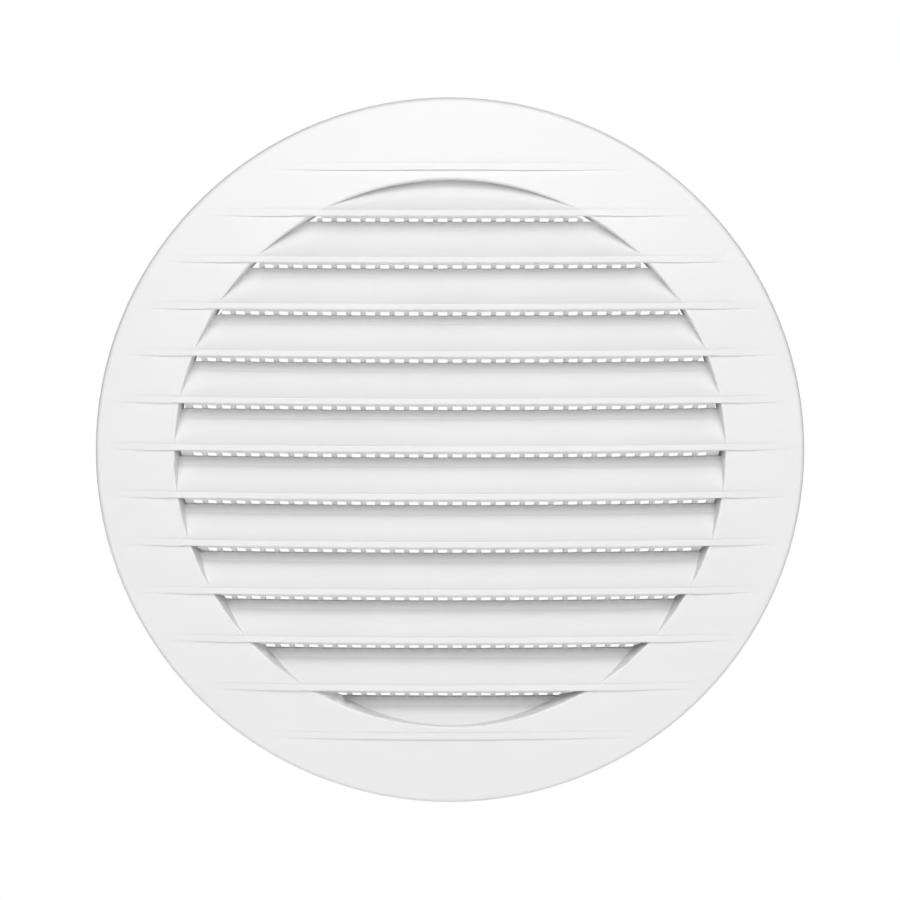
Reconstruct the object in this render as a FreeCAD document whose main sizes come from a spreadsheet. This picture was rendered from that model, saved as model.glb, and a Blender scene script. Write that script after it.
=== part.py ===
"""Round louvred ventilation grille for a 125 mm duct, held by four hinged spring legs.

Frame: +Z is up, the face of the grille looks along -Y and the duct runs along +Y.
The origin is on the duct's axis, in the plane where the flange meets the wall.
"""
import FreeCAD, Part
import math
import os
import re
import Sketcher

V = FreeCAD.Vector
doc = FreeCAD.newDocument("louvre_vent")
sizes = doc.addObject("Spreadsheet::Sheet", "sizes")

# Driving dimensions, in millimetres unless the note says otherwise.
DIMENSIONS = [
    ("rim_radius", 75.0, "outer radius of the flange"),
    ("rim_step", 2.0, "height of the flange's outer edge before the wall"),
    ("rim_round", 1.1, "rounding of the outer edge"),
    ("rim_land", 2.0, "width of the edge that touches the wall"),
    ("flange_slope", 0.2118, "rise of the conical face per millimetre of radius"),
    ("flange_wall", 1.85, "thickness of the conical face along the axis"),
    ("throat_front", 58.1, "radius of the opening at the front lip"),
    ("throat_back", 57.2, "radius of the opening at the screen's seat"),
    ("lip_round", 0.45, "rounding of the front lip"),
    ("seat_depth", 1.6, "screen seat, behind the wall plane"),
    ("neck_bore", 59.0, "bore behind the seat, round the screen's ring"),
    ("neck_radius", 60.2, "outside of the neck that the spigot fits over"),
    ("neck_end", 3.7, "end of the neck, behind the wall plane"),
    ("dome_radius", 400.0, "radius of the dome that the blades follow"),
    ("crest_front", 10.41, "blade crest before the wall plane, on the axis"),
    ("crest_lip", 6.11, "blade crest before the wall plane, at the lip"),
    ("crest_lip_radius", 58.65, "radius at which crest_lip holds"),
    ("crest_slope", 0.2609, "fall of the crest across the flange"),
    ("rib_count", 13, "blades, the blind top and bottom ones included"),
    ("rib_pitch", 10.06, "distance between blades at the middle"),
    ("rib_spread", 0.0365, "growth of that distance towards the bottom, per blade"),
    ("rib_middle", 1.62, "height of the middle blade's nose"),
    ("nose_height", 1.48, "height of a blade's nose"),
    ("nose_round_low", 0.45, "rounding under the nose"),
    ("nose_round_top", 0.22, "rounding over the nose"),
    ("nose_ledge", 0.3, "ledge over the nose"),
    ("nose_groove", 0.16, "depth of the crease between the ledge and the sloping face"),
    ("blade_knee_depth", 5.2, "knee of the blade, behind its nose"),
    ("blade_knee_rise", 5.94, "knee of the blade, above the nose's middle"),
    ("blade_top_depth", 6.0, "top edge of the blade, behind its nose"),
    ("blade_top_rise", 7.64, "top edge of the blade, above the nose's middle"),
    ("blade_wall", 1.3, "thickness of the sloping face, front to back"),
    ("mesh_pitch", 3.05, "distance between the screen's bars"),
    ("mesh_bar", 1.1, "width of one bar"),
    ("mesh_wall", 0.45, "thickness of a bar"),
    ("mesh_rail", 0.395, "height of the rail under each nose"),
    ("mesh_rail_depth", 0.8, "depth of that rail's sloping underside"),
    ("mesh_setback", 1.0, "front rail behind the nose's face"),
    ("mesh_gap", 0.08, "clearance between the screen and the blades"),
    ("mesh_field", 57.8, "radius that the holes stay inside"),
    ("mesh_half_count", 18, "most holes on each side of the middle"),
    ("mesh_edge", 56.8, "radius of the screen inside the throat"),
    ("ring_bore", 57.5, "inner radius of the screen's ring"),
    ("ring_radius", 58.9, "outer radius of the screen's ring"),
    ("ring_depth", 2.0, "thickness of the screen's ring"),
    ("stiffener_bar", 6, "the bar, counted from the middle, with a stiffener behind it"),
    ("spigot_bore", 60.3, "inner radius of the spigot"),
    ("spigot_radius", 62.0, "outer radius of the spigot"),
    ("spigot_front", 2.65, "front end of the spigot, before the wall plane"),
    ("spigot_depth", 16.0, "rear end of the spigot, behind the wall plane"),
    ("spigot_lead", 0.6, "bevel that leads the spigot into the duct"),
    ("spigot_relief", 0.8, "step down of the spigot inside the flange"),
    ("tab_front", 3.75, "front face of the screw tabs"),
    ("tab_depth", 2.0, "thickness of the screw tabs"),
    ("screw_side", 10.0, "screws, left and right of the middle"),
    ("screw_upper", 54.0, "height of the upper pair of screws"),
    ("screw_lower", 57.0, "depth of the lower pair, below the axis"),
    ("boss_radius", 2.4, "radius of the screw bosses"),
    ("screw_radius", 1.2, "radius of the screw's thread and of its pilot hole"),
    ("screw_head", 2.1, "radius of the screw's head"),
    ("screw_head_height", 1.6, "height of the screw's head"),
    ("screw_length", 7.0, "length of the screw under its head"),
    ("screw_slot", 0.7, "width of the cross recess"),
    ("pivot_radius", 57.4, "distance from the axis to a leg's pivot"),
    ("pivot_depth", 11.0, "a leg's pivot, behind the wall plane"),
    ("pin_radius", 1.0, "radius of a pivot pin"),
    ("pin_head", 1.5, "radius of the pin's head"),
    ("pin_head_height", 0.7, "height of the pin's head"),
    ("ear_gap", 9.4, "distance between the two ears of a pivot"),
    ("ear_wall", 1.8, "thickness of an ear"),
    ("ear_round", 2.4, "radius of an ear round its pin"),
    ("wire_radius", 0.55, "radius of the spring wire"),
    ("coil_bore", 1.08, "inner radius of the wire's coils"),
    ("coil_radius", 2.24, "outer radius of the wire's coils"),
    ("coil_length", 3.6, "length of one coil"),
    ("coil_gap", 1.8, "distance between the two coils of a leg"),
    ("leg_length", 28.0, "length of a leg, from its pivot to its cross bar"),
    ("leg_flare", 17.0, "outward angle of a free leg, in degrees"),
    ("leg_half_width", 5.2, "cross bar, each side of the middle"),
    ("leg_bend", 2.2, "bend of the wire at its cross bar"),
    ("sleeve_radius", 1.25, "outer radius of the sleeve on the cross bar"),
    ("sleeve_length", 5.6, "length of that sleeve"),
    ("gasket_inner", 62.4, "inner radius of the wall gasket"),
    ("gasket_outer", 70.0, "outer radius of the wall gasket"),
    ("gasket_gap", 0.05, "glue line between the gasket and the flange"),
]
for row, (alias, value, note) in enumerate(DIMENSIONS, 1):
    sizes.set("A%d" % row, note)
    sizes.set("B%d" % row, str(value))
    sizes.setAlias("B%d" % row, alias)
doc.recompute()
NAMES = {alias for alias, value, note in DIMENSIONS}


def cells(text):
    """The expression with each dimension's name pointing at its cell."""
    return re.sub(r"[a-z_]+", lambda m: "sizes." + m.group() if m.group() in NAMES else m.group(), text)


def size(text):
    """The number that an expression gives now."""
    return float(sizes.evalExpression(cells(text)))


def bind(item, **expressions):
    """Bind properties to the sheet; a double underscore stands for the dot of a nested property."""
    for name, text in expressions.items():
        item.setExpression(name.replace("__", "."), cells(text))
    return item


# --- sketches -----------------------------------------------------------------------------

SIDE_VIEW = FreeCAD.Rotation(V(0, 1, 0), V(0, 0, 1), V(1, 0, 0))   # sketch x is Y, sketch y is Z


def fix_point(sketch, item, end, across, up):
    """Hold a point of the sketch at two expressions."""
    for kind, text in (("DistanceX", across), ("DistanceY", up)):
        index = sketch.addConstraint(Sketcher.Constraint(kind, -1, 1, item, end, size(text)))
        sketch.setExpression("Constraints[%d]" % index, cells(text))


def outline(sketch, corners):
    """Closed outline through corners (across, up) or, where it is rounded, (across, up, radius)."""
    points = [V(size(c[0]), size(c[1]), 0) for c in corners]
    count = len(points)
    entries, exits, arcs = [], [], {}
    for i, point in enumerate(points):
        if len(corners[i]) == 2:
            entries.append(point)
            exits.append(point)
            continue
        radius = size(corners[i][2])
        back = (points[i - 1] - point).normalize()
        onward = (points[(i + 1) % count] - point).normalize()
        half = back.getAngle(onward) / 2
        entries.append(point + back * (radius / math.tan(half)))
        exits.append(point + onward * (radius / math.tan(half)))
        middle = (back + onward).normalize()
        arcs[i] = Part.Arc(entries[i], point + middle * (radius / math.sin(half) - radius), exits[i])
    lines = [sketch.addGeometry(Part.LineSegment(exits[i], entries[(i + 1) % count])) for i in range(count)]
    for i, point in enumerate(points):
        before, after = lines[i - 1], lines[i]
        if i not in arcs:
            sketch.addConstraint(Sketcher.Constraint("Coincident", before, 2, after, 1))
            fix_point(sketch, after, 1, corners[i][0], corners[i][1])
            continue
        arc = sketch.addGeometry(arcs[i])
        near, far = (1, 2) if sketch.getPoint(arc, 1).distanceToPoint(entries[i]) < 1e-6 else (2, 1)
        sketch.addConstraint(Sketcher.Constraint("Tangent", before, 2, arc, near))
        sketch.addConstraint(Sketcher.Constraint("Tangent", after, 1, arc, far))
        index = sketch.addConstraint(Sketcher.Constraint("Radius", arc, size(corners[i][2])))
        sketch.setExpression("Constraints[%d]" % index, cells(corners[i][2]))
        corner = sketch.addGeometry(Part.Point(point), True)
        sketch.addConstraint(Sketcher.Constraint("PointOnObject", corner, 1, before))
        sketch.addConstraint(Sketcher.Constraint("PointOnObject", corner, 1, after))
        fix_point(sketch, corner, 1, corners[i][0], corners[i][1])


def turned_body(name, corners):
    """A body turned about the Y axis; corners are (radius, depth behind the wall plane)."""
    body = doc.addObject("PartDesign::Body", name)
    plane = [item for item in body.Origin.OriginFeatures if item.Role == "XY_Plane"][0]
    sketch = body.newObject("Sketcher::SketchObject", name + "_profile")
    sketch.AttachmentSupport = [(plane, "")]
    sketch.MapMode = "FlatFace"
    outline(sketch, corners)
    turn = body.newObject("PartDesign::Revolution", name + "_turn")
    turn.Profile = sketch
    turn.ReferenceAxis = (sketch, ["V_Axis"])
    turn.Angle = 360
    return body


# --- small builders -----------------------------------------------------------------------

def rod(name, radius, length, at, turn):
    """A cylinder whose axis starts at three expressions and is turned from +Z."""
    item = doc.addObject("Part::Cylinder", name)
    item.Placement.Rotation = turn
    bind(item, Radius=radius, Height=length)
    bind(item, Placement__Base__x=at[0], Placement__Base__y=at[1], Placement__Base__z=at[2])
    return item


def block(name, lengths, at):
    """A box with its lowest corner at three expressions."""
    item = doc.addObject("Part::Box", name)
    bind(item, Length=lengths[0], Width=lengths[1], Height=lengths[2])
    bind(item, Placement__Base__x=at[0], Placement__Base__y=at[1], Placement__Base__z=at[2])
    return item


def union(name, items):
    item = doc.addObject("Part::MultiFuse", name)
    item.Shapes = items
    return item


def minus(name, base, tools):
    item = doc.addObject("Part::Cut", name)
    item.Base = base
    item.Tool = tools[0] if len(tools) == 1 else union(name + "_tools", tools)
    return item


BACKWARD = FreeCAD.Rotation(V(1, 0, 0), -90)    # turns +Z to +Y, into the duct
SIDEWAYS = FreeCAD.Rotation(V(0, 1, 0), 90)     # turns +Z to +X


# --- front moulding -----------------------------------------------------------------------

def face_at(radius):
    """The flange's conical face at a radius, as an expression for Y."""
    return "(-rim_step - (rim_radius - (%s)) * flange_slope)" % radius


def crest_at(radius):
    """The cone that trims the blade noses where they run out on the flange."""
    return "(-crest_lip - (crest_lip_radius - (%s)) * crest_slope)" % radius


def rib_height(index):
    """Height of a blade's nose; blade 1 is the top one."""
    step = "((rib_count + 1) / 2 - %d)" % index
    return "(rib_middle + %s * rib_pitch - %s ^ 2 * rib_spread)" % (step, step)


def rib_front(index):
    """Y of a blade's nose on the middle line: the blades follow the dome."""
    return "(-crest_front + %s ^ 2 / (2 * dome_radius))" % rib_height(index)


RIBS = range(1, int(size("rib_count")) + 1)


def build_flange():
    return turned_body("flange_shell", [
        ("rim_radius", "0"),
        ("rim_radius", "-rim_step", "rim_round"),
        ("throat_front", face_at("throat_front"), "lip_round"),
        ("throat_back", "seat_depth"),
        ("neck_bore", "seat_depth"),
        ("neck_bore", "neck_end"),
        ("neck_radius", "neck_end"),
        ("neck_radius", face_at("neck_radius") + " + flange_wall"),
        ("rim_radius - rim_land", face_at("rim_radius - rim_land") + " + flange_wall"),
        ("rim_radius - rim_land", "0")])


def bowed(name, profile, index):
    """One blade section swept along the dome's bow, wider than the flange."""
    sweep = doc.addObject("Part::Revolution", "%s_%02d" % (name, index))
    sweep.Source = profile
    sweep.Axis = V(0, 0, 1)
    sweep.Symmetric = True
    sweep.Solid = True
    bind(sweep, Base__y="dome_radius", Angle="2 * asin(rim_radius / dome_radius)")
    bind(sweep, Placement__Base__y=rib_front(index), Placement__Base__z=rib_height(index))
    return sweep


def rows(name, corners, room):
    """The same bowed section at every blade's place, each trimmed to the room as free-form faces."""
    profile = doc.addObject("Sketcher::SketchObject", name + "_profile")
    profile.Placement.Rotation = SIDE_VIEW
    outline(profile, corners)
    sweeps = [bowed(name, profile, index) for index in RIBS]
    doc.recompute()
    kept = []
    for sweep in sweeps:
        shape = sweep.Shape.toNurbs().common(room.Shape)
        if shape.Solids:
            item = doc.addObject("Part::Feature", sweep.Name + "_kept")
            item.Shape = shape
            kept.append(item)
    return kept


def build_blades():
    """Blades fill the throat; only their noses run on over the flange, as beads that taper to nothing."""
    reach, end = "(throat_front + 0.3)", "(rim_radius - 2.6)"
    throat = turned_body("throat_room", [
        ("0", crest_at("0")),
        (reach, crest_at(reach)),
        (reach, "seat_depth - 0.1"),
        ("0", "seat_depth - 0.1")])
    blades = rows("blade", [
        ("0", "-nose_height / 2", "nose_round_low"),
        ("0", "nose_height / 2", "nose_round_top"),
        ("nose_ledge", "nose_height / 2"),
        ("nose_ledge + 0.1", "nose_height / 2 - nose_groove"),
        ("blade_knee_depth", "blade_knee_rise"),
        ("blade_top_depth", "blade_top_rise"),
        ("blade_top_depth + 0.9", "blade_top_rise - 0.45"),
        ("blade_knee_depth + 1.1", "blade_knee_rise - 0.95"),
        ("blade_wall", "-nose_height / 2")], throat)
    skin = " + flange_wall / 2"
    face_room = turned_body("face_room", [
        ("throat_front - 0.3", crest_at("throat_front - 0.3")),
        (end, crest_at(end)),
        (end, face_at(end) + skin),
        ("throat_front - 0.3", face_at("throat_front - 0.3") + skin)])
    beads = rows("bead", [
        ("0", "-nose_height / 2", "nose_round_low"),
        ("0", "nose_height / 2", "nose_round_top"),
        ("4", "nose_height / 2"),
        ("4", "-nose_height / 2")], face_room)
    return blades + beads


# Each screw: name, side, height expression, start of its boss.
SCREWS = [
    ("upper_left", "-screw_side", "screw_upper", "-2.2"),
    ("upper_right", "screw_side", "screw_upper", "-2.2"),
    ("lower_left", "-screw_side", "-screw_lower", "-0.5"),
    ("lower_right", "screw_side", "-screw_lower", "-0.5"),
]


def build_louvre_front():
    bosses = [rod("boss_" + name, "boss_radius", "seat_depth - (%s)" % start, (x, start, z), BACKWARD)
              for name, x, z, start in SCREWS]
    solid = union("louvre_front_solid", [build_flange()] + build_blades() + bosses)
    pilots = [rod("pilot_" + name, "screw_radius", "screw_length + 1", (x, "tab_front + tab_depth - screw_length", z),
                  BACKWARD) for name, x, z, start in SCREWS]
    return minus("louvre_front", solid, pilots)


# --- insect screen ------------------------------------------------------------------------

def build_insect_screen():
    """One comb for each gap: bars fall from a rail under one nose to the top edge of the next blade."""
    dome, bar, pitch = size("dome_radius"), size("mesh_bar"), size("mesh_pitch")
    half_nose = size("nose_height / 2")
    seat, depth = size("seat_depth"), size("ring_depth")
    ring_front = seat + 0.05
    edge, skirt = size("mesh_edge"), size("ring_bore") + 0.3
    step = ring_front + 0.02

    def bow(x):
        return x * x / (2 * dome)

    def beyond_edge(height):
        """What a comb at this height loses at its two ends, in the throat and, further out, at the ring."""
        tools = []
        for reach, y, depth_kept in ((edge, -30, step + 30), (skirt, step, 20)):
            angle = math.degrees(math.asin(height / reach))
            for turn in (-angle, angle - 180):
                tool = Part.makeBox(40, depth_kept, 100, V(reach, y, -50))
                tool.rotate(V(0, 0, 0), V(0, 1, 0), turn)
                tools.append(tool)
        return tools

    def comb(index):
        front = size(rib_front(index)) + size("mesh_setback")
        under = size(rib_height(index)) - half_nose - size("mesh_gap")
        back = size(rib_front(index + 1)) + size("blade_top_depth")
        top = size(rib_height(index + 1)) + size("blade_top_rise")
        gap, wall = size("mesh_gap"), size("mesh_wall")
        rail = size("mesh_rail_depth")
        section = [(front, under), (front + rail / 2, under), (back, top + gap + wall), (back + 3.0, top - 0.4),
                   (back + 3.0, top - 0.9), (back + 1.2, top - 0.9), (back + 1.15, top - 0.45), (back, top + gap),
                   (front + rail, under - size("mesh_rail"))]
        wire = Part.makePolygon([V(0, y, z) for y, z in section + section[:1]])
        axis = V(0, size(rib_front(index)) + dome, 0)
        sweep = 2 * math.degrees(math.asin(60 / dome))
        start = Part.Face(wire)
        start.rotate(axis, V(0, 0, 1), -sweep / 2)
        plate = start.revolve(axis, V(0, 0, 1), sweep)
        holes = []
        for k in range(1, int(size("mesh_half_count")) + 1):
            outer = k * pitch - bar / 2
            if math.hypot(outer, top) > size("mesh_field"):
                break
            inner = outer - pitch + bar
            y_low, y_high = front + rail + 0.12 + bow(inner), back + 2.2 + bow(inner)
            for x in (inner, -outer):
                holes.append(Part.makeBox(pitch - bar, y_high - y_low, 4, V(x, y_low, top - 1.2)))
        return plate.cut(Part.makeCompound(holes + beyond_edge((under + top - 0.9) / 2)))

    def stiffener(side):
        """Upright web behind the combs, hidden by one column of bars."""
        x = side * size("stiffener_bar") * pitch
        front = []
        for index in RIBS[2:]:
            y = size(rib_front(index)) + size("blade_top_depth") + 1.3 + bow(x)
            front.append((y, size(rib_height(index)) + size("blade_top_rise") - 0.6))
        reach = math.sqrt((size("ring_bore") + 0.3) ** 2 - x * x)
        front[0] = (ring_front + 0.1, reach)
        front[-1] = (ring_front + 0.1, -reach)
        back = [(y + 1.5, z) for y, z in reversed(front)]
        wide = bar - 0.2
        wire = Part.makePolygon([V(x - wide / 2, y, z) for y, z in front + back + front[:1]])
        return Part.Face(wire).extrude(V(wide, 0, 0))

    def ear(x, z):
        """Round a screw, with a foot that runs out to the ring."""
        radius = size("boss_radius")
        disc = Part.makeCylinder(radius, depth, V(x, ring_front, z), V(0, 1, 0))
        foot = Part.makeBox(2 * radius, depth, 10, V(x - radius, ring_front, z if z > 0 else z - 10))
        return disc.fuse(foot)

    ring = Part.makeCylinder(size("ring_radius"), depth, V(0, ring_front, 0), V(0, 1, 0))
    ring = ring.cut(Part.makeCylinder(size("ring_bore"), depth, V(0, ring_front, 0), V(0, 1, 0)))
    centres = [(size(x), size(z)) for name, x, z, start in SCREWS]
    inside = Part.makeCylinder(size("ring_radius"), depth, V(0, ring_front, 0), V(0, 1, 0))
    ears = [ear(x, z).common(inside) for x, z in centres]
    frame = ring.multiFuse(ears + [stiffener(1), stiffener(-1)])
    solid = frame.multiFuse([comb(index) for index in RIBS[1:-1]])
    clear = size("screw_radius") + 0.3
    bores = [Part.makeCylinder(clear, depth + 2, V(x, ring_front - 1, z), V(0, 1, 0)) for x, z in centres]
    screen = doc.addObject("Part::Feature", "insect_screen")
    screen.Shape = solid.cut(Part.makeCompound(bores)).removeSplitter()
    return screen


# --- duct spigot --------------------------------------------------------------------------

# Each leg: name and the angle of its pivot round the duct's axis, from +X towards +Z.
LEGS = [("right", 0), ("top", 90), ("left", 180), ("bottom", 270)]


def about_axis(angle):
    """Turns a piece made at +Z round the duct's axis to its own angle."""
    return FreeCAD.Placement(V(0, 0, 0), FreeCAD.Rotation(V(0, 1, 0), 90 - angle))


def placed(name, item, angle):
    """A copy of a piece made at +Z, turned round the axis; it keeps following its source."""
    copy = doc.addObject("Part::Compound", name)
    copy.Links = [item]
    copy.Placement = about_axis(angle)
    return copy


def build_ears():
    """Two ears at +Z, joined to the spigot's wall, with a hole for the pin."""
    ears = []
    for side, start in (("left", "-ear_gap / 2 - ear_wall"), ("right", "ear_gap / 2")):
        ears.append(rod("ear_round_" + side, "ear_round", "ear_wall", (start, "pivot_depth", "pivot_radius"), SIDEWAYS))
        ears.append(block("ear_foot_" + side,
                          ("ear_wall", "2 * ear_round", "spigot_bore + 0.8 - pivot_radius"),
                          (start, "pivot_depth - ear_round", "pivot_radius")))
    hole = rod("ear_hole", "pin_radius", "ear_gap + 4 * ear_wall",
               ("-ear_gap / 2 - 2 * ear_wall", "pivot_depth", "pivot_radius"), SIDEWAYS)
    return minus("ear_pair", union("ear_blanks", ears), [hole])


def build_duct_spigot():
    tube = turned_body("spigot_tube", [
        ("spigot_bore", "-spigot_front"),
        ("spigot_radius - spigot_relief", "-spigot_front"),
        ("spigot_radius - spigot_relief", "0"),
        ("spigot_radius", "0"),
        ("spigot_radius", "spigot_depth - 2 * spigot_lead"),
        ("spigot_radius - spigot_lead", "spigot_depth"),
        ("spigot_bore", "spigot_depth")])
    pieces = [tube]
    holes = []
    for name, x, z, start in SCREWS:
        upper = name.startswith("upper")
        reach = "sqrt((spigot_bore + 0.6) ^ 2 - (screw_side - boss_radius) ^ 2) - abs(%s)" % z
        pieces.append(rod("tab_round_" + name, "boss_radius", "tab_depth", (x, "tab_front", z), BACKWARD))
        pieces.append(block("tab_foot_" + name, ("2 * boss_radius", "tab_depth", reach),
                            ("%s - boss_radius" % x, "tab_front", z if upper else "%s - (%s)" % (z, reach))))
        holes.append(rod("tab_hole_" + name, "screw_radius + 0.3", "tab_depth + 2", (x, "tab_front - 1", z), BACKWARD))
    ears = build_ears()
    pieces += [placed("ears_" + name, ears, angle) for name, angle in LEGS]
    return minus("duct_spigot", union("spigot_solid", pieces), holes)


# --- fasteners, gasket --------------------------------------------------------------------

def build_screw(name, x, z):
    """Pan-head screw with a cross recess, driven from inside the duct."""
    seat = "(tab_front + tab_depth)"
    shank = rod("shank_" + name, "screw_radius", "screw_length - 0.2", (x, seat + " - screw_length + 0.2", z), BACKWARD)
    head = rod("head_" + name, "screw_head", "screw_head_height", (x, seat, z), BACKWARD)
    recess = []
    for label, wide, tall in (("level", "1.4 * screw_head", "screw_slot"), ("upright", "screw_slot", "1.4 * screw_head")):
        recess.append(block("recess_%s_%s" % (label, name), (wide, "screw_head_height", tall),
                            ("%s - (%s) / 2" % (x, wide), seat + " + screw_head_height * 0.45",
                             "%s - (%s) / 2" % (z, tall))))
    return minus("spigot_screw_" + name, union("screw_blank_" + name, [shank, head]), recess)


def build_wall_gasket():
    return turned_body("wall_gasket", [
        ("gasket_inner", face_at("gasket_inner") + " + flange_wall + gasket_gap"),
        ("gasket_outer", face_at("gasket_outer") + " + flange_wall + gasket_gap"),
        ("gasket_outer", "0"),
        ("gasket_inner", "0")])


# --- spring legs --------------------------------------------------------------------------

def build_pin_at_top():
    start = "-ear_gap / 2 - ear_wall"
    shank = rod("pin_shank", "pin_radius", "ear_gap + 2 * ear_wall + 0.4", (start, "pivot_depth", "pivot_radius"), SIDEWAYS)
    head = rod("pin_head_disc", "pin_head", "pin_head_height",
               (start + " - pin_head_height", "pivot_depth", "pivot_radius"), SIDEWAYS)
    return union("pin_at_top", [shank, head])


def leg_frame():
    """Placement of the plane of a leg's wire, for the leg at +Z: x along the pin, y along the leg."""
    flare = math.radians(size("leg_flare"))
    along = V(0, math.cos(flare), math.sin(flare))
    normal = V(0, -math.sin(flare), math.cos(flare))
    offset = (size("coil_bore") + size("coil_radius")) / 2
    origin = V(0, size("pivot_depth"), size("pivot_radius")) - normal * offset
    return origin, along


def build_leg_at_top():
    """Two coils round the pin and a hairpin of wire that runs back into the duct."""
    origin, along = leg_frame()
    start, wide, bend = size("coil_gap / 2 + wire_radius + 0.1"), size("leg_half_width"), size("leg_bend")
    length = size("leg_length")
    corners = [(-start, -0.4), (-wide, length - 6), (-wide, length), (wide, length), (wide, length - 6), (start, -0.4)]
    points = [origin + V(x, 0, 0) + along * s for x, s in corners]
    edges = []
    last = points[0]
    for before, point, after in zip(points, points[1:], points[2:]):
        back = (before - point).normalize()
        onward = (after - point).normalize()
        half = back.getAngle(onward) / 2
        radius = bend if half < math.radians(60) else 4 * bend
        middle = (back + onward).normalize()
        enter = point + back * (radius / math.tan(half))
        leave = point + onward * (radius / math.tan(half))
        edges.append(Part.LineSegment(last, enter).toShape())
        edges.append(Part.Arc(enter, point + middle * (radius / math.sin(half) - radius), leave).toShape())
        last = leave
    edges.append(Part.LineSegment(last, points[-1]).toShape())
    path = Part.Wire(edges)
    circle = Part.Wire(Part.makeCircle(size("wire_radius"), points[0], points[1] - points[0]))
    wire = path.makePipeShell([circle], True, False)
    coils = []
    for x in (size("coil_gap / 2"), -size("coil_gap / 2 + coil_length")):
        at = V(x, size("pivot_depth"), size("pivot_radius"))
        coil = Part.makeCylinder(size("coil_radius"), size("coil_length"), at, V(1, 0, 0))
        coils.append(coil.cut(Part.makeCylinder(size("coil_bore"), size("coil_length"), at, V(1, 0, 0))))
    bore = Part.makeCylinder(size("coil_bore"), 40, V(-20, size("pivot_depth"), size("pivot_radius")), V(1, 0, 0))
    return wire.multiFuse(coils).cut(bore)


def build_sleeve_at_top():
    origin, along = leg_frame()
    at = origin + along * size("leg_length") - V(size("sleeve_length / 2"), 0, 0)
    sleeve = Part.makeCylinder(size("sleeve_radius"), size("sleeve_length"), at, V(1, 0, 0))
    return sleeve.cut(Part.makeCylinder(size("wire_radius"), size("sleeve_length"), at, V(1, 0, 0)))


def turned_copy(name, shape, angle):
    item = doc.addObject("Part::Feature", name)
    item.Shape = shape
    item.Placement = about_axis(angle)
    return item


# --- assembly -----------------------------------------------------------------------------

nodes = [build_louvre_front(), build_insect_screen(), build_duct_spigot(), build_wall_gasket()]
nodes += [build_screw(name, x, z) for name, x, z, start in SCREWS]
pin = build_pin_at_top()
leg_shape, sleeve_shape = build_leg_at_top(), build_sleeve_at_top()
for leg, angle in LEGS:
    nodes.append(placed("pivot_pin_" + leg, pin, angle))
    nodes.append(turned_copy("spring_leg_" + leg, leg_shape, angle))
    nodes.append(turned_copy("leg_sleeve_" + leg, sleeve_shape, angle))
for node in nodes:
    node.Label = node.Name
doc.recompute()

failed = [item.Name for item in doc.Objects if {"Invalid", "Error"} & set(item.State)]
failed += [node.Name for node in nodes if node.Shape.isNull() or not node.Shape.isValid()]
if failed:
    raise RuntimeError("failed: " + ", ".join(failed))

os.makedirs("parts", exist_ok=True)
for node in nodes:
    node.Shape.exportStep("parts/%s.step" % node.Label)
    print("%-28s solids %d  volume %9.1f mm3" % (node.Label, len(node.Shape.Solids), node.Shape.Volume))
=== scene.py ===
"""Looks of a round louvred ventilation grille: white moulded plastic on a bright, plain studio set."""
import math

import bpy
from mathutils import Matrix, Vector


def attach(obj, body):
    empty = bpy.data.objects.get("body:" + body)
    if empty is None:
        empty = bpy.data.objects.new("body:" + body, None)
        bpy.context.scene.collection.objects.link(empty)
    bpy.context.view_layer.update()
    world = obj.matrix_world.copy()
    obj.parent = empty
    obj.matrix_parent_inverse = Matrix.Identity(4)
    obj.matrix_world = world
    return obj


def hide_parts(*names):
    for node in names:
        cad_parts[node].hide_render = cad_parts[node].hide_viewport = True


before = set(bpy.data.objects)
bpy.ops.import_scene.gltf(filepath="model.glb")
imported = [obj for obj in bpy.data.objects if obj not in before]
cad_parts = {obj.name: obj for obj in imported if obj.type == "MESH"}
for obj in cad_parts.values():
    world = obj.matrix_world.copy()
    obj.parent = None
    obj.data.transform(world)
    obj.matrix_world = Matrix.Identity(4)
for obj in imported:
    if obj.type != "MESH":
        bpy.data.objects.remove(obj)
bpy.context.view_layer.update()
MM = 0.001
LEGS = {"top": 0, "right": 90, "bottom": 180, "left": 270}


# --- materials ----------------------------------------------------------------------------

def material(name, colour, roughness, **sockets):
    """A Principled material; numbers that hold for the whole surface sit on its own sockets."""
    made = bpy.data.materials.new(name)
    made.use_nodes = True
    shader = made.node_tree.nodes["Principled BSDF"]
    shader.inputs["Base Color"].default_value = (*colour, 1)
    shader.inputs["Roughness"].default_value = roughness
    for socket, value in sockets.items():
        shader.inputs[socket.replace("_", " ")].default_value = value
    return made, shader


def noise(made, size_mm, detail=2.0, rough=0.5, stretch=None):
    """Noise in object space whose features are about size_mm across."""
    nodes, links = made.node_tree.nodes, made.node_tree.links
    place = nodes.new("ShaderNodeTexCoord")
    grain = nodes.new("ShaderNodeTexNoise")
    grain.inputs["Scale"].default_value = 1 / (size_mm * MM)
    grain.inputs["Detail"].default_value = detail
    grain.inputs["Roughness"].default_value = rough
    if stretch is None:
        links.new(place.outputs["Object"], grain.inputs["Vector"])
    else:
        mapping = nodes.new("ShaderNodeMapping")
        mapping.inputs["Scale"].default_value = stretch
        links.new(place.outputs["Object"], mapping.inputs["Vector"])
        links.new(mapping.outputs["Vector"], grain.inputs["Vector"])
    return grain.outputs["Fac"]


def bump(made, shader, heights):
    """Chain of bumps; each entry is (height socket, depth in mm, strength)."""
    nodes, links = made.node_tree.nodes, made.node_tree.links
    below = None
    for height, depth_mm, strength in heights:
        step = nodes.new("ShaderNodeBump")
        step.inputs["Strength"].default_value = strength
        step.inputs["Distance"].default_value = depth_mm * MM
        links.new(height, step.inputs["Height"])
        if below is not None:
            links.new(below, step.inputs["Normal"])
        below = step.outputs["Normal"]
    links.new(below, shader.inputs["Normal"])


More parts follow.
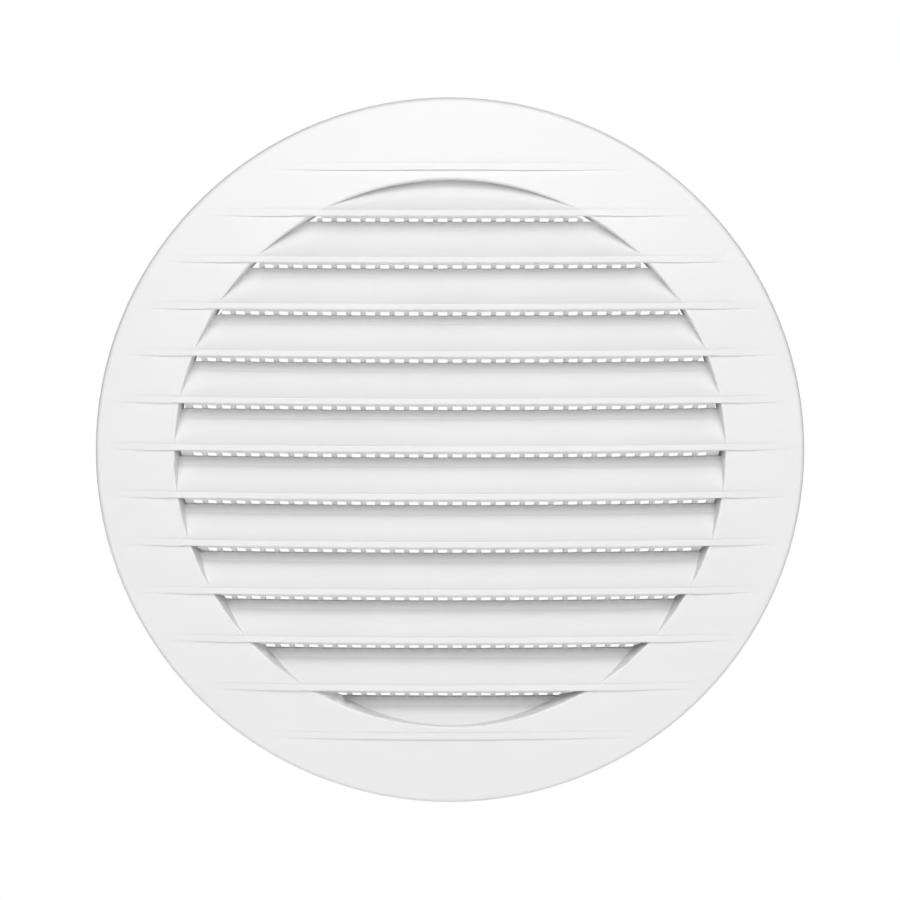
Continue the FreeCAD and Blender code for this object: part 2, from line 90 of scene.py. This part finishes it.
def spread(made, source, socket, low, high, start=0.3, end=0.7):
    """Drives a socket with a noise between two values, colours or numbers."""
    nodes, links = made.node_tree.nodes, made.node_tree.links
    if isinstance(low, tuple):
        ramp = nodes.new("ShaderNodeValToRGB")
        ramp.color_ramp.elements[0].position = start
        ramp.color_ramp.elements[0].color = (*low, 1)
        ramp.color_ramp.elements[1].position = end
        ramp.color_ramp.elements[1].color = (*high, 1)
        links.new(source, ramp.inputs["Fac"])
        links.new(ramp.outputs["Color"], socket)
        return
    span = nodes.new("ShaderNodeMapRange")
    span.inputs["From Min"].default_value = start
    span.inputs["From Max"].default_value = end
    span.inputs["To Min"].default_value = low
    span.inputs["To Max"].default_value = high
    links.new(source, span.inputs["Value"])
    links.new(span.outputs["Result"], socket)


def moulded(name, colour, roughness, grain_mm, grain_depth, scatter):
    """White moulded plastic: spark-eroded grain, faint flow of gloss and tone, a little light let in."""
    made, shader = material(name, colour, roughness, Subsurface_Weight=scatter, Subsurface_Scale=0.6 * MM,
                            Subsurface_Radius=(1.0, 0.95, 0.9), IOR=1.47)
    fine = noise(made, grain_mm, detail=3.0, rough=0.6)
    flow = noise(made, 22, detail=1.0)
    dull = tuple(c * 0.985 for c in colour)
    spread(made, flow, shader.inputs["Base Color"], dull, colour)
    spread(made, flow, shader.inputs["Roughness"], roughness - 0.03, roughness + 0.04)
    bump(made, shader, [(flow, 0.02, 0.25), (fine, grain_depth, 1.0)])
    return made


def steel(name, colour, roughness, stretch):
    """Metal with the fine lines that drawing or turning leaves."""
    made, shader = material(name, colour, roughness, Metallic=1.0)
    lines = noise(made, 0.5, detail=4.0, rough=0.7, stretch=stretch)
    spread(made, lines, shader.inputs["Roughness"], roughness - 0.08, roughness + 0.12)
    spread(made, lines, shader.inputs["Base Color"], tuple(c * 0.86 for c in colour), colour)
    bump(made, shader, [(lines, 0.01, 0.6)])
    return made


def foam(name):
    """Dark closed-cell foam: small cells of uneven tone."""
    made, shader = material(name, (0.05, 0.05, 0.055), 0.85)
    nodes, links = made.node_tree.nodes, made.node_tree.links
    place = nodes.new("ShaderNodeTexCoord")
    cells = nodes.new("ShaderNodeTexVoronoi")
    cells.inputs["Scale"].default_value = 1 / (0.7 * MM)
    links.new(place.outputs["Object"], cells.inputs["Vector"])
    spread(made, cells.outputs["Distance"], shader.inputs["Base Color"], (0.07, 0.07, 0.075), (0.035, 0.035, 0.04),
           0.1, 0.7)
    bump(made, shader, [(cells.outputs["Distance"], 0.25, 0.8), (noise(made, 0.2), 0.05, 0.5)])
    return made


def vinyl(name):
    """Soft grey tube with a slightly uneven, waxy surface."""
    made, shader = material(name, (0.16, 0.16, 0.17), 0.42, Sheen_Weight=0.15)
    uneven = noise(made, 0.9, detail=3.0)
    spread(made, uneven, shader.inputs["Roughness"], 0.36, 0.52)
    spread(made, uneven, shader.inputs["Base Color"], (0.14, 0.14, 0.15), (0.19, 0.19, 0.2))
    bump(made, shader, [(uneven, 0.03, 0.6)])
    return made


WHITE = moulded("front_white", (0.80, 0.80, 0.80), 0.42, 0.16, 0.006, 0.05)
SCREEN = moulded("screen_plastic", (0.78, 0.78, 0.78), 0.45, 0.12, 0.004, 0.08)
SPIGOT = moulded("spigot_plastic", (0.77, 0.77, 0.765), 0.48, 0.2, 0.008, 0.1)
FOAM = foam("gasket_foam_cells")
ZINC = steel("zinc_plate", (0.74, 0.74, 0.71), 0.34, (1, 1, 1))
TURNED = steel("turned_steel", (0.62, 0.62, 0.62), 0.3, (1, 8, 8))
DRAWN = steel("drawn_wire", (0.66, 0.66, 0.67), 0.24, (1, 0.15, 1))
SLEEVE = vinyl("sleeve_vinyl")

KINDS = {"louvre_front": WHITE, "insect_screen": SCREEN, "duct_spigot": SPIGOT, "wall_gasket": FOAM}
KINDS.update({"spigot_screw": ZINC, "pivot_pin": TURNED, "spring_leg": DRAWN, "leg_sleeve": SLEEVE})
for name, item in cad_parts.items():
    look = [made for start, made in KINDS.items() if name.startswith(start)][0]
    item.data.materials.clear()
    item.data.materials.append(look)


# --- the legs' wire, wound for real --------------------------------------------------------

# Millimetres, for the top leg; x runs along the pin.
WIRE_RADIUS = 0.55
WIRE_SIDES = 14
COIL_RADIUS = 1.66        # to the middle of the wire
COIL_START = 1.55         # first turn, from the leg's middle plane
COIL_PITCH = 1.13
COIL_STEP = math.pi / 12
COIL_STEPS = 54           # two turns and a quarter
LEG_LENGTH = 28
SPLAY_END = 22            # where the two sides have reached the cross bar's width
HALF_WIDTH = 5.2
BEND, SOFT_BEND = 2.2, 8.8
ARC_STEPS = 8
PIVOT = Vector((0, 11.0, 57.4))
FLARE = math.radians(17)
ALONG = Vector((0, math.cos(FLARE), math.sin(FLARE)))
NORMAL = Vector((0, -math.sin(FLARE), math.cos(FLARE)))


def rounded(points, radii):
    """The points with each inner corner replaced by an arc."""
    path = [points[0]]
    for before, point, after, radius in zip(points, points[1:], points[2:], radii):
        back, onward = (before - point).normalized(), (after - point).normalized()
        half = back.angle(onward) / 2
        centre = point + (back + onward).normalized() * (radius / math.sin(half))
        start = point + back * (radius / math.tan(half)) - centre
        sweep_axis = start.cross(point - centre).normalized()
        turn = math.pi - 2 * half
        for k in range(ARC_STEPS + 1):
            angle = turn * k / ARC_STEPS
            path.append(centre + math.cos(angle) * start + math.sin(angle) * sweep_axis.cross(start))
    return path + [points[-1]]


def winding(side):
    """The turns round the pin, from the leg outwards along the pin; side is -1 or 1."""
    path = []
    for k in range(1, COIL_STEPS + 1):
        angle = k * COIL_STEP
        x = side * (COIL_START + COIL_PITCH * angle / (2 * math.pi))
        spoke = COIL_RADIUS * (NORMAL * math.cos(angle) + ALONG * math.sin(angle))
        path.append(PIVOT + Vector((x, 0, 0)) - spoke)
    return path


def tube(path, radius):
    """Vertices and faces of a round wire along a path, its frame carried on without twist."""
    vertices, faces = [], []
    side = Vector((0.3, 0.8, 0.5))
    count = len(path)
    for k, point in enumerate(path):
        heading = (path[min(k + 1, count - 1)] - path[max(k - 1, 0)]).normalized()
        side = (side - heading * side.dot(heading)).normalized()
        other = heading.cross(side)
        for j in range(WIRE_SIDES):
            angle = 2 * math.pi * j / WIRE_SIDES
            vertices.append(point + radius * (side * math.cos(angle) + other * math.sin(angle)))
    for k in range(count - 1):
        for j in range(WIRE_SIDES):
            a, b = k * WIRE_SIDES + j, k * WIRE_SIDES + (j + 1) % WIRE_SIDES
            faces.append((a, b, b + WIRE_SIDES, a + WIRE_SIDES))
    faces.append(tuple(reversed(range(WIRE_SIDES))))
    faces.append(tuple(range((count - 1) * WIRE_SIDES, count * WIRE_SIDES)))
    return vertices, faces


def leg_wire():
    """One wire: a coil, the hairpin with its cross bar, and the other coil."""
    origin = PIVOT - NORMAL * COIL_RADIUS
    left = [(-COIL_START, 0), (-HALF_WIDTH, SPLAY_END), (-HALF_WIDTH, LEG_LENGTH)]
    corners = left + [(-x, s) for x, s in reversed(left)]
    points = [origin + Vector((x, 0, 0)) + ALONG * s for x, s in corners]
    hairpin = rounded(points, (SOFT_BEND, BEND, BEND, SOFT_BEND))
    return tube(winding(-1)[::-1] + hairpin + winding(1), WIRE_RADIUS)


wire_vertices, wire_faces = leg_wire()
for leg, angle in LEGS.items():
    turn = math.radians(angle)
    turned = [(v.x * math.cos(turn) + v.z * math.sin(turn), v.y, v.z * math.cos(turn) - v.x * math.sin(turn))
              for v in wire_vertices]
    mesh = bpy.data.meshes.new("wire_" + leg)
    mesh.from_pydata([[MM * value for value in point] for point in turned], [], wire_faces)
    mesh.shade_smooth()
    mesh.materials.append(DRAWN)
    wire = bpy.data.objects.new("wire_" + leg, mesh)
    bpy.context.scene.collection.objects.link(wire)
    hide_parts("spring_leg_" + leg)
    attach(wire, "leg_" + leg)


# --- camera, light, floor -----------------------------------------------------------------

ELEVATION = math.radians(6)
DISTANCE = 1.0
LENS = 188.9
target = Vector((0, -0.001, 0.0005))
camera = bpy.data.objects.new("camera", bpy.data.cameras.new("camera"))
camera.location = target + DISTANCE * Vector((0, -math.cos(ELEVATION), math.sin(ELEVATION)))
camera.rotation_euler = (target - camera.location).to_track_quat("-Z", "Y").to_euler()
camera.data.sensor_width = 36
camera.data.lens = LENS
camera.data.clip_start = 0.01
bpy.context.scene.collection.objects.link(camera)
bpy.context.scene.camera = camera


def softbox(name, at, across, up, power):
    """A rectangular lamp that faces the part."""
    lamp = bpy.data.lights.new(name, "AREA")
    lamp.shape = "RECTANGLE"
    lamp.size = across
    lamp.size_y = up
    lamp.energy = power
    item = bpy.data.objects.new(name, lamp)
    item.location = at
    item.rotation_euler = (-Vector(at)).to_track_quat("-Z", "Y").to_euler()
    bpy.context.scene.collection.objects.link(item)


softbox("key", (0, -0.85, 1.0), 1.4, 0.8, 4.2)
softbox("high_fill", (0, -1.5, 0.87), 1.6, 1.0, 20.2)
softbox("front_fill", (0, -1.6, 0.45), 1.6, 1.0, 3.2)
softbox("rear_fill", (0.3, 1.6, 0.7), 1.2, 0.8, 7)

# The camera sees a white surround, while the part gets only a trace of light from it.
world = bpy.data.worlds.new("studio")
world.use_nodes = True
sky, links = world.node_tree.nodes, world.node_tree.links
ambient = sky["Background"]
ambient.inputs["Color"].default_value = (1, 1, 1, 1)
ambient.inputs["Strength"].default_value = 0.02
seen = sky.new("ShaderNodeBackground")
seen.inputs["Color"].default_value = (1, 1, 1, 1)
rays = sky.new("ShaderNodeLightPath")
mixed = sky.new("ShaderNodeMixShader")
links.new(rays.outputs["Is Camera Ray"], mixed.inputs[0])
links.new(ambient.outputs["Background"], mixed.inputs[1])
links.new(seen.outputs["Background"], mixed.inputs[2])
links.new(mixed.outputs["Shader"], sky["World Output"].inputs["Surface"])
bpy.context.scene.world = world
bpy.context.scene.view_settings.view_transform = "Standard"


def floor(height, near, far, glow):
    """A sheet of pale paper, 6 m wide, lit through so that it stays even."""
    mesh = bpy.data.meshes.new("floor")
    corners = [(-3, near, height), (3, near, height), (3, far, height), (-3, far, height)]
    mesh.from_pydata(corners, [], [(0, 1, 2, 3)])
    paper = bpy.data.objects.new("floor", mesh)
    bpy.context.scene.collection.objects.link(paper)
    made, shader = material("floor_paper", (0.93, 0.93, 0.93), 0.8, Emission_Strength=glow)
    shader.inputs["Emission Color"].default_value = (1, 1, 1, 1)
    spread(made, noise(made, 400), shader.inputs["Base Color"], (0.92, 0.92, 0.92), (0.94, 0.94, 0.94))
    mesh.materials.append(made)


floor(-0.30, -1.9, 0.8, 0.26)
